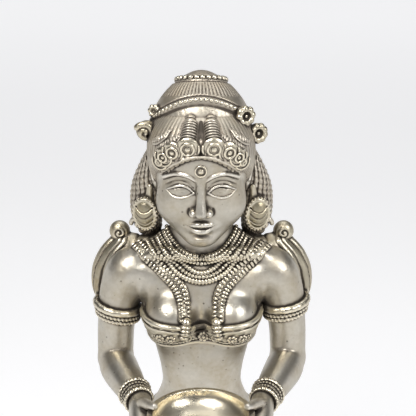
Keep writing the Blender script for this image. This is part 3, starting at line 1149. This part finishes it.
def make_falls():
    n = 50
    path = curve([(0, -10.6, 101.6), (0, -10.5, 88.0), (0, -9.6, 74.0), (0, -8.2, 58.0), (0, -7.0, 44.0)], n)
    out = np.tile([0.0, -1.0, 0.12], (n, 1))
    parts = [pleated(path, np.linspace(4.4, 8.4, n), out, 5, 0.75, 1.2)]
    inner = path + np.array([0, -0.9, 0])
    inner = inner[: int(n * 0.72)]
    parts.append(pleated(inner, np.linspace(2.6, 4.6, len(inner)), out[: len(inner)], 3, 0.7, 1.0))
    for y, z, w in ((-7.9, 44.4, 8.4), (-9.5, 60.4, 4.6)):
        xs = np.linspace(-w / 2, w / 2, 30)
        hem = np.c_[xs, np.full(30, y - 0.1), z + 0.5 * np.abs(np.sin(xs * 1.6))]
        parts.append(ribbed(hem, 0.42, 0.8, 0.3, sides=9, swing=1))
    piece("front_pleats", join(parts), "cloth_brass", "front_pleats")
    for s, label in SIDES:
        path = curve([(s * 15.2, 1.0, 104.5), (s * 17.0, 1.2, 97.0), (s * 17.4, 1.2, 87.0),
            (s * 16.7, 1.0, 77.0), (s * 17.8, 0.8, 68.5), (s * 20.6, 0.6, 61.5)], n)
        widths = np.interp(np.linspace(0, 1, n), [0, 0.1, 0.5, 0.8, 1], [2.4, 3.6, 4.8, 5.6, 7.6])
        sash = pleated(path, widths, np.tile([s * 1.0, 0.0, 0.2], (n, 1)), 4, 0.8, 1.2)
        knot = [beads([(s * 15.6, -0.2, 104.2)], 1.5), beads([(s * 15.6, 1.9, 103.4)], 1.3)]
        ys = np.linspace(-3.0, 4.2, 26)
        hem = np.c_[np.full(26, s * 20.5), ys, 61.7 + 0.5 * np.abs(np.sin(ys * 1.7))]
        knot.append(ribbed(hem, 0.42, 0.8, 0.3, sides=9, swing=1))
        piece(f"side_sash_{label}", join([sash] + knot), "cloth_brass", f"side_sash_{label}")


def make_feet():
    c = Clay((2.0, -14.5, 32.0), (12.4, 6.5, 41.0), 0.17)
    c.tube(curve([(6.9, 2.4, 34.2, 2.5), (7.0, -1.5, 34.3, 2.4), (7.3, -5.0, 33.8, 2.0),
        (7.5, -8.6, 33.4, 1.5)], 20), 0)
    c.tube([(6.9, 1.3, 35.0, 2.7), (6.9, 0.8, 39.0, 3.1)], 1.1)
    c.blob((7.5, -7.0, 33.1), (3.4, 3.4, 1.3), 1.2)
    c.blob((5.0, 0.4, 35.0), (1.0, 1.2, 1.0), 0.6)
    c.blob((9.0, 0.9, 34.6), (1.0, 1.2, 1.0), 0.6)
    for x, y, r in ((5.2, -11.2, 1.0), (6.75, -11.3, 0.78), (8.05, -10.8, 0.72), (9.2, -10.0, 0.68),
            (10.2, -8.9, 0.62)):
        c.tube([(x + 0.1, y + 3.4, 33.6, r), (x, y, 33.2, r)], 0.35)
        c.blob((x, y - r * 0.55, 33.2 + r * 0.75), (r * 0.55, r * 0.55, 0.2), 0.1)
    # nothing stays below the plate's top
    c.add(lambda x, y, z: z - 32.5, carve=True)
    piece("foot_pair", both(c.mesh()), "skin_brass", "foot_left", "foot_right")
    parts = []
    for z, r, beaded in ((37.0, 4.1, False), (38.1, 4.2, True), (39.2, 4.15, False)):
        p = circle(r, z, 60, 6.9, 0.4)
        if beaded:
            parts.append(beads(curve(p[:-1], 26, closed=True), 0.52))
        else:
            parts.append(ribbed(p, 0.6, 1.0, 0.25, sides=9, swing=1))
    piece("anklet_pair", both(join(parts)), "ornament_brass", "anklets_left", "anklets_right")


# ---------------------------------------------------------------- pedestal


def moulded(profile, half, round_off=0.6):
    """A slab with an oblong plan whose edge follows a profile of (height, inset)."""
    profile = np.array(profile, float)

    def field(x, y, z):
        inset = np.interp(z.ravel(), profile[:, 0], profile[:, 1]).astype(np.float32)[None, None, :]
        qx, qy = np.abs(x) - (half[0] - inset - round_off), np.abs(y) - (half[1] - inset - round_off)
        corner = np.sqrt(np.maximum(qx, 0) ** 2 + np.maximum(qy, 0) ** 2)
        flat = corner + np.minimum(np.maximum(qx, qy), 0) - round_off
        return np.maximum(flat, np.maximum(z - profile[-1, 0], profile[0, 0] - z))

    return field


def turned(profile):
    """A solid turned about Z from a profile of (height, radius)."""
    profile = np.array(profile, float)

    def field(x, y, z):
        r = np.interp(z.ravel(), profile[:, 0], profile[:, 1]).astype(np.float32)[None, None, :]
        return np.maximum(np.sqrt(x * x + y * y) - r, np.maximum(z - profile[-1, 0], profile[0, 0] - z))

    return field


def petal_ring(clay, radius, level, radii, lean, count, offset, k=0.25):
    """A ring of leaning petals, each with a midrib and a raised margin."""
    ca, sa = math.cos(math.radians(lean)), math.sin(math.radians(lean))

    def field(x, y, z):
        r, step = np.sqrt(x * x + y * y), 2 * math.pi / count
        a = (np.arctan2(y, x) - offset + step / 2) % step - step / 2
        px, wide, pz = r * np.cos(a) - radius, r * np.sin(a), z - level
        long, thick = px * ca + pz * sa, -px * sa + pz * ca
        point = 1 - 0.35 * np.clip(long / radii[0], -1, 1) ** 3
        p = (long / radii[0], wide / (radii[1] * point), thick / radii[2])
        k0 = np.sqrt(p[0] ** 2 + p[1] ** 2 + p[2] ** 2)
        plan = np.sqrt(p[0] ** 2 + p[1] ** 2)
        margin = 0.3 * np.exp(-(((plan - 0.74) / 0.07) ** 2))
        rib = 0.28 * np.exp(-((wide / 0.45) ** 2)) * (plan < 0.8) - margin
        return (k0 - 1) * min(radii) - rib

    clay.add(field, k=k)


def make_pedestal():
    c = Clay((-40, -37, -0.6), (40, 37, 11.4), 0.33)
    profile = [(0, 0.5), (0.5, 0.0), (2.4, 0.0), (2.7, 0.7), (3.1, 0.7), (3.4, 0.2), (4.2, 0.0), (5.2, 0.2),
        (5.9, 0.9), (6.0, 3.4)]
    profile += [(6.4, 4.0), (8.2, 4.4), (8.5, 4.9), (8.8, 4.4), (9.6, 4.2), (10.2, 4.5), (10.5, 5.1)]
    c.add(moulded(profile, (39, 36)))
    piece("plinth_casting", c.mesh(), "pedestal_brass", "plinth")
    # a row of lozenge bosses round the plinth's upper step
    parts = []
    for half, other, axis in ((35.0, 32.0, 0), (32.0, 35.0, 1)):
        count = 15 if axis == 0 else 14
        along = np.linspace(-half + 3.2, half - 3.2, count)
        for side in (-1, 1):
            p = np.zeros((count, 3))
            p[:, axis], p[:, 1 - axis], p[:, 2] = along, side * (other - 0.1), 7.3
            axes = np.repeat(np.stack([np.eye(3)[axis], np.eye(3)[2], np.eye(3)[1 - axis]])[None], count, 0)
            parts.append(beads(p, 0.75, stretch=(1.35, 0.9, 0.7), axes=axes))
    piece("plinth_bosses", join(parts), "pedestal_brass", "plinth")

    c = Clay((-31.5, -31.5, 10.0), (31.5, 31.5, 20.2), 0.3)
    c.add(turned([(10.5, 27.6), (11.4, 27.8), (12.4, 26.6), (16.0, 21.4), (19.5, 18.6)]))
    petal_ring(c, 24.6, 14.2, (6.0, 4.3, 1.7), -38, 16, math.pi / 16)
    petal_ring(c, 25.2, 14.6, (6.2, 4.5, 1.9), -38, 16, 0.0, 0.0)
    c.d = np.maximum(c.d, (10.5 - c.axes[2])[None, None, :])
    piece("lotus_lower_petals", c.mesh(), "pedestal_brass", "lotus_lower")

    # the waist: a core, a roped ring, beads on it and a cord above and below them
    core = sweep(circle(12.0, 21.0, 200), 1.0, out=circle(1.0, 0.0, 200), wide=1.45, high=7.0, sides=16,
        ends=False)
    parts = [core, beads(curve(circle(19.3, 21.0, 200)[:-1], 64, closed=True), 0.92)]
    parts.append(ribbed(circle(18.6, 21.0, 200), 1.0, 1.8, 0.2, sides=9, swing=1))
    parts += [sweep(circle(19.2, z, 200), 0.5, sides=10, ends=False) for z in (19.95, 22.05)]
    piece("waist_beads", join(parts), "pedestal_brass", "lotus_waist_ring")

    c = Clay((-28.5, -28.5, 22.0), (28.5, 28.5, 31.2), 0.28)
    c.add(turned([(22.5, 18.4), (25.0, 20.0), (28.0, 23.6), (29.6, 25.4), (30.5, 25.6)]))
    petal_ring(c, 22.6, 26.6, (5.0, 3.9, 1.5), 40, 16, math.pi / 16)
    petal_ring(c, 23.0, 26.2, (5.2, 4.1, 1.7), 40, 16, 0.0, 0.0)
    c.d = np.maximum(c.d, np.maximum(c.axes[2] - 30.5, 22.5 - c.axes[2])[None, None, :])
    piece("lotus_upper_petals", c.mesh(), "pedestal_brass", "lotus_upper")

    c = Clay((-26.5, -26.5, 30.0), (26.5, 26.5, 33.0), 0.25)
    c.add(turned([(30.5, 24.6), (30.9, 25.0), (31.4, 25.0), (31.9, 24.6), (32.3, 24.3), (32.5, 23.7)]))
    for groove in (21.8, 19.2):
        c.press(lambda x, y, z: -0.16 * np.exp(-(((np.sqrt(x * x + y * y) - groove) / 0.3) ** 2)))
    rim = beads(circle(24.9, 31.2, 96, closed=True), 0.72)
    dots = beads(circle(20.5, 32.4, 48, closed=True), 0.5)
    piece("foot_plate_disc", join([c.mesh(), rim, dots]), "pedestal_brass", "foot_plate")


# ---------------------------------------------------------------- building the objects


def relaxed(v, q, rounds=3):
    """The points after a few rounds of averaging with their neighbours."""
    a, b = q.ravel(), np.roll(q, -1, axis=1).ravel()
    i, j = np.concatenate([a, b]), np.concatenate([b, a])
    degree = np.maximum(np.bincount(i, minlength=len(v)), 1)
    for _ in range(rounds):
        v = np.stack([np.bincount(i, weights=v[j, k], minlength=len(v)) / degree for k in range(3)], 1)
    return v


DEPTH_STEP, BAND = 0.4, 7.0  # grid step in mm and half band in steps of the field that finds recesses


def build_objects():
    """Makes the meshes, with how deep each point lies in a recess and how exposed it is among all pieces."""
    step = DEPTH_STEP
    verts, quads = join([(p[1], p[2]) for p in PIECES])
    low = verts.min(0) - 4
    counts = np.ceil((verts.max(0) + 4 - low) / step).astype(int)
    transform = openvdb.createLinearTransform(1.0)
    points = ((verts - low) / step).astype(np.float32)
    grid = openvdb.FloatGrid.createLevelSetFromPolygons(points, quads=quads.astype(np.uint32),
        transform=transform, halfWidth=BAND)
    field = np.full(counts, BAND, np.float32)
    grid.copyToArray(field)
    field *= step
    for name, v, q, slot_name, nodes in PIECES:
        mesh = bpy.data.meshes.new(name)
        mesh.vertices.add(len(v))
        mesh.vertices.foreach_set("co", (v * MM).astype(np.float32).ravel())
        mesh.loops.add(q.size)
        mesh.loops.foreach_set("vertex_index", q.astype(np.int32).ravel())
        mesh.polygons.add(len(q))
        mesh.polygons.foreach_set("loop_start", np.arange(0, q.size, 4, dtype=np.int32))
        mesh.polygons.foreach_set("use_smooth", np.ones(len(q), bool))
        mesh.update(calc_edges=True)
        mesh.validate()
        normals = np.empty(len(mesh.vertices) * 3, np.float32)
        mesh.vertices.foreach_get("normal", normals)
        normals = normals.reshape(-1, 3)
        co = np.empty(len(mesh.vertices) * 3, np.float32)
        mesh.vertices.foreach_get("co", co)
        at = (co.reshape(-1, 3) / MM - low) / step
        hollow = np.einsum("ij,ij->i", relaxed(v, q) - v, normals)
        hidden = 0.42 * np.clip((hollow - 0.006) / 0.045, 0, 1)
        shown = 0.25 * np.clip((-hollow - 0.006) / 0.045, 0, 1)
        for reach, weight in ((0.5, 0.30), (1.0, 0.35), (2.0, 0.35)):
            open_air = trilinear(field, at + normals * (reach / step)) / reach
            hidden = hidden + weight * np.clip(1 - open_air, 0, 1)
        for reach, weight in ((0.6, 0.5), (1.3, 0.5)):
            inside = -trilinear(field, at - normals * (reach / step)) / reach
            shown = shown + weight * np.clip(1 - inside, 0, 1)
        for attribute, values in (("recess", hidden), ("edge", shown)):
            layer = mesh.attributes.new(attribute, "FLOAT", "POINT")
            layer.data.foreach_set("value", values.astype(np.float32))
        obj = bpy.data.objects.new(name, mesh)
        bpy.context.scene.collection.objects.link(obj)
        mesh.materials.append(MATERIALS[slot_name])
        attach(obj, "root")
        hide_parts(*nodes)


# ---------------------------------------------------------------- materials

MATERIALS = {}  # by name, which is the slot's name too


def metal(name, bright, mid, dark, warm, rough, pits, dusty=(0.27, 0.225, 0.175), dull=0.0):
    """Cast metal: rubbed bright where it stands out, dull and dark where it lies deep, tinted in clouds."""
    m = bpy.data.materials.new(name)
    m.use_nodes = True
    tree = m.node_tree
    tree.nodes.clear()

    def node(kind, **settings):
        n = tree.nodes.new(kind)
        for key, value in settings.items():
            if key in n.inputs:
                n.inputs[key].default_value = value
            else:
                setattr(n, key, value)
        return n

    def math_node(operation, a, b, clamp=False):
        n = tree.nodes.new("ShaderNodeMath")
        n.operation, n.use_clamp = operation, clamp
        for socket, value in zip(n.inputs, (a, b)):
            if isinstance(value, (int, float)):
                socket.default_value = value
            else:
                tree.links.new(value, socket)
        return n.outputs[0]

    def mix(factor, a, b, blend="MIX"):
        n = tree.nodes.new("ShaderNodeMix")
        n.data_type, n.blend_type = "RGBA", blend
        for socket, value in ((n.inputs[0], factor), (n.inputs[6], a), (n.inputs[7], b)):
            if isinstance(value, (int, float)):
                socket.default_value = value
            elif isinstance(value, tuple):
                socket.default_value = (*value, 1)
            else:
                tree.links.new(value, socket)
        return n.outputs[2]

    def noise(scale, detail, roughness=0.55):
        n = node("ShaderNodeTexNoise", Scale=scale, Detail=detail, Roughness=roughness)
        tree.links.new(where, n.inputs["Vector"])
        return n.outputs["Fac"]

    def ramp(value, low, high):
        n = node("ShaderNodeMapRange")
        n.inputs["From Min"].default_value, n.inputs["From Max"].default_value = low, high
        tree.links.new(value, n.inputs["Value"])
        return n.outputs["Result"]

    where = node("ShaderNodeTexCoord").outputs["Object"]
    recess = node("ShaderNodeAttribute", attribute_name="recess").outputs["Fac"]
    edge = node("ShaderNodeAttribute", attribute_name="edge").outputs["Fac"]
    clouds, fine, speck = noise(140, 5), noise(900, 4), noise(3200, 3)

    rough_recess = math_node("ADD", recess, math_node("MULTIPLY", math_node("SUBTRACT", fine, 0.5), 0.30))
    deep = ramp(rough_recess, 0.27, 0.62)
    half = ramp(rough_recess, 0.12, 0.42)
    colour = mix(ramp(clouds, 0.40, 0.66), mid, warm)
    colour = mix(math_node("MULTIPLY", ramp(fine, 0.35, 0.75), 0.35), colour, bright)
    facing = node("ShaderNodeSeparateXYZ")
    tree.links.new(node("ShaderNodeNewGeometry").outputs["Normal"], facing.inputs[0])
    under = math_node("MULTIPLY", ramp(facing.outputs["Z"], 0.40, -0.65), 0.62)
    colour = mix(under, colour, tuple(0.38 * c for c in mid))
    colour = mix(ramp(edge, 0.22, 0.62), colour, bright)
    colour = mix(math_node("MULTIPLY", half, 0.60), colour, dusty)
    colour = mix(deep, colour, dark)

    holes = node("ShaderNodeTexVoronoi", Scale=620.0)
    tree.links.new(where, holes.inputs["Vector"])
    spots = ramp(holes.outputs["Distance"], 0.20, 0.07)
    spots = math_node("MULTIPLY", spots, ramp(noise(260, 2), 0.50, 0.62), True)
    spots = math_node("MULTIPLY", spots, pits, True)
    colour = mix(math_node("MULTIPLY", spots, 0.8), colour, dark)

    shader = node("ShaderNodeBsdfPrincipled")
    tree.links.new(colour, shader.inputs["Base Color"])
    cover = math_node("ADD", math_node("MULTIPLY", deep, 0.55), math_node("MULTIPLY", half, 0.12))
    tree.links.new(math_node("SUBTRACT", 1.0 - dull, cover), shader.inputs["Metallic"])
    value = math_node("ADD", rough, math_node("MULTIPLY", deep, 0.30))
    value = math_node("ADD", value, math_node("MULTIPLY", math_node("SUBTRACT", clouds, 0.5), 0.22))
    value = math_node("SUBTRACT", value, math_node("MULTIPLY", ramp(edge, 0.3, 0.7), 0.07))
    tree.links.new(value, shader.inputs["Roughness"])
    height = math_node("ADD", math_node("MULTIPLY", fine, 0.60), math_node("MULTIPLY", speck, 0.30))
    height = math_node("ADD", height, math_node("MULTIPLY", noise(330, 2), 1.1))
    height = math_node("SUBTRACT", height, math_node("MULTIPLY", spots, 1.2))
    bump = node("ShaderNodeBump")
    bump.inputs["Strength"].default_value = 0.5
    bump.inputs["Distance"].default_value = 0.00012
    tree.links.new(height, bump.inputs["Height"])
    tree.links.new(bump.outputs["Normal"], shader.inputs["Normal"])
    out = node("ShaderNodeOutputMaterial")
    tree.links.new(shader.outputs["BSDF"], out.inputs["Surface"])
    MATERIALS[name] = m


def make_materials():
    dusty = (0.30, 0.245, 0.20)
    metal("skin_brass", (0.78, 0.74, 0.655), (0.565, 0.53, 0.455), (0.050, 0.041, 0.032), (0.50, 0.44, 0.335),
        0.39, 0.9)
    metal("cloth_brass", (0.70, 0.645, 0.52), (0.47, 0.425, 0.325), (0.052, 0.042, 0.030), (0.42, 0.35, 0.23),
        0.40, 0.6)
    metal("hair_brass", (0.60, 0.55, 0.46), (0.40, 0.36, 0.295), (0.070, 0.057, 0.044), (0.41, 0.345, 0.25),
        0.45, 0.5, dusty, 0.12)
    metal("ornament_brass", (0.69, 0.63, 0.50), (0.385, 0.345, 0.25), (0.045, 0.036, 0.026),
        (0.42, 0.35, 0.215), 0.34, 0.3)
    metal("lamp_brass", (0.68, 0.62, 0.49), (0.46, 0.41, 0.30), (0.060, 0.049, 0.036), (0.46, 0.38, 0.23),
        0.34, 0.6)
    metal("pedestal_brass", (0.66, 0.61, 0.52), (0.44, 0.40, 0.325), (0.060, 0.049, 0.038),
        (0.44, 0.375, 0.26), 0.38, 0.7)
    metal("bolt_steel", (0.62, 0.62, 0.63), (0.45, 0.45, 0.46), (0.10, 0.10, 0.10), (0.42, 0.42, 0.43), 0.34,
        0.2, (0.25, 0.25, 0.25))
    for name in ("tie_bolt", "tie_washer"):
        for material_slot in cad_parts[name].material_slots:
            material_slot.material = MATERIALS["bolt_steel"]


# ---------------------------------------------------------------- stage


def light(name, place, aim, size, power, colour=(1, 1, 1), spread=180):
    data = bpy.data.lights.new(name, "AREA")
    data.spread = math.radians(spread)
    data.shape, data.size, data.size_y = "RECTANGLE", size[0], size[1]
    data.energy, data.color = power, colour
    obj = bpy.data.objects.new(name, data)
    bpy.context.scene.collection.objects.link(obj)
    obj.location = place
    obj.rotation_euler = (Vector(aim) - Vector(place)).to_track_quat("-Z", "Y").to_euler()


FLOOR_HALF = 1.4  # m
FLOOR_GLOW = (0.05, 1.30, 0.27, 0.52)  # near and far distance in m, glow near and far
ROOM_GREYS = ((0.20, 0.26), (0.28, 0.045), (0.60, 0.10))  # place between horizon and zenith, brightness
CAMERA_AIM, CAMERA_DISTANCE, CAMERA_PITCH, CAMERA_LENS = (1.6, -9.8, 165.7), 0.260, math.radians(20.0), 96.8


def add_node(tree, kind, *values, **settings):
    """A new node, its settings made and its inputs filled from pairs of socket and value."""
    node = tree.nodes.new(kind)
    for key, value in settings.items():
        setattr(node, key, value)
    for socket, value in values:
        node.inputs[socket].default_value = value
    return node


def make_floor():
    """A pale ground: the lamps light it near the statue, and a soft glow keeps it pale further out."""
    mesh = bpy.data.meshes.new("floor")
    r = FLOOR_HALF
    mesh.from_pydata([(-r, -r, 0), (r, -r, 0), (r, r, 0), (-r, r, 0)], [], [(0, 1, 2, 3)])
    floor = bpy.data.objects.new("floor", mesh)
    bpy.context.scene.collection.objects.link(floor)
    m = bpy.data.materials.new("pale_ground")
    m.use_nodes = True
    tree = m.node_tree
    shader, link = tree.nodes["Principled BSDF"], tree.links.new
    cloud = add_node(tree, "ShaderNodeTexNoise", ("Scale", 9))
    greys = ((6, (0.82, 0.82, 0.83, 1)), (7, (0.86, 0.86, 0.87, 1)))
    tint = add_node(tree, "ShaderNodeMix", *greys, data_type="RGBA")
    link(cloud.outputs["Fac"], tint.inputs[0])
    link(tint.outputs[2], shader.inputs["Base Color"])
    place = add_node(tree, "ShaderNodeTexCoord")
    reach = add_node(tree, "ShaderNodeVectorMath", operation="LENGTH")
    glow = add_node(tree, "ShaderNodeMapRange", *enumerate(FLOOR_GLOW, 1), interpolation_type="SMOOTHSTEP")
    link(place.outputs["Object"], reach.inputs[0])
    link(reach.outputs["Value"], glow.inputs[0])
    link(glow.outputs[0], shader.inputs["Emission Strength"])
    uniform = {"Roughness": 0.85, "Specular IOR Level": 0.2, "Emission Color": (1.0, 1.0, 1.01, 1)}
    for socket, value in uniform.items():
        shader.inputs[socket].default_value = value
    mesh.materials.append(m)


def make_world():
    """A pale horizon under a dim room, lighter again overhead."""
    world = bpy.data.worlds.new("studio")
    bpy.context.scene.world = world
    world.use_nodes = True
    tree = world.node_tree
    way, split = add_node(tree, "ShaderNodeTexCoord"), add_node(tree, "ShaderNodeSeparateXYZ")
    ramp = add_node(tree, "ShaderNodeValToRGB")
    first, last = ramp.color_ramp.elements
    first.position, first.color = 0.10, (0.80, 0.80, 0.82, 1)
    last.position, last.color = 1.0, (0.36, 0.37, 0.385, 1)
    for position, value in ROOM_GREYS:
        ramp.color_ramp.elements.new(position).color = (value, value, value * 1.02, 1)
    background = tree.nodes["Background"]
    background.inputs[1].default_value = 1.0
    tree.links.new(way.outputs["Generated"], split.inputs[0])
    tree.links.new(split.outputs[2], ramp.inputs[0])
    tree.links.new(ramp.outputs[0], background.inputs[0])


def make_camera():
    data = bpy.data.cameras.new("camera")
    data.sensor_width, data.lens, data.clip_start = 36.0, CAMERA_LENS, 0.01
    camera = bpy.data.objects.new("camera", data)
    bpy.context.scene.collection.objects.link(camera)
    away = Vector((0, -math.cos(CAMERA_PITCH), math.sin(CAMERA_PITCH)))
    camera.location = Vector(CAMERA_AIM) * MM + away * CAMERA_DISTANCE
    camera.rotation_euler = (-away).to_track_quat("-Z", "Y").to_euler()
    bpy.context.scene.camera = camera


def make_stage():
    bpy.context.scene.view_settings.view_transform = "Standard"
    make_floor()
    make_world()
    aim = (0, 0, 0.15)
    light("key", (-0.20, -0.36, 0.62), aim, (0.34, 0.24), 3.2, (1.0, 0.985, 0.96))
    light("fill_right", (0.36, -0.28, 0.44), aim, (0.22, 0.26), 1.3)
    light("top", (0.0, 0.12, 0.75), aim, (0.5, 0.3), 0.9)
    light("backdrop", (0, 1.6, 1.6), (0, 1.3, 0), (3.0, 1.6), 4.5, spread=120)
    make_camera()


def main():
    make_materials()
    make_head()
    cap = make_hair()
    make_front_hair(cap)
    make_side_ornaments(cap)
    trunk = make_trunk()
    make_plait()
    make_hands()
    make_lamp()
    make_necklaces(trunk)
    make_breast_band(trunk)
    make_arm_rings()
    make_shoulder_drapes(trunk)
    skirt = make_skirt()
    make_girdle(skirt)
    make_falls()
    make_feet()
    make_pedestal()
    build_objects()
    make_stage()


main()
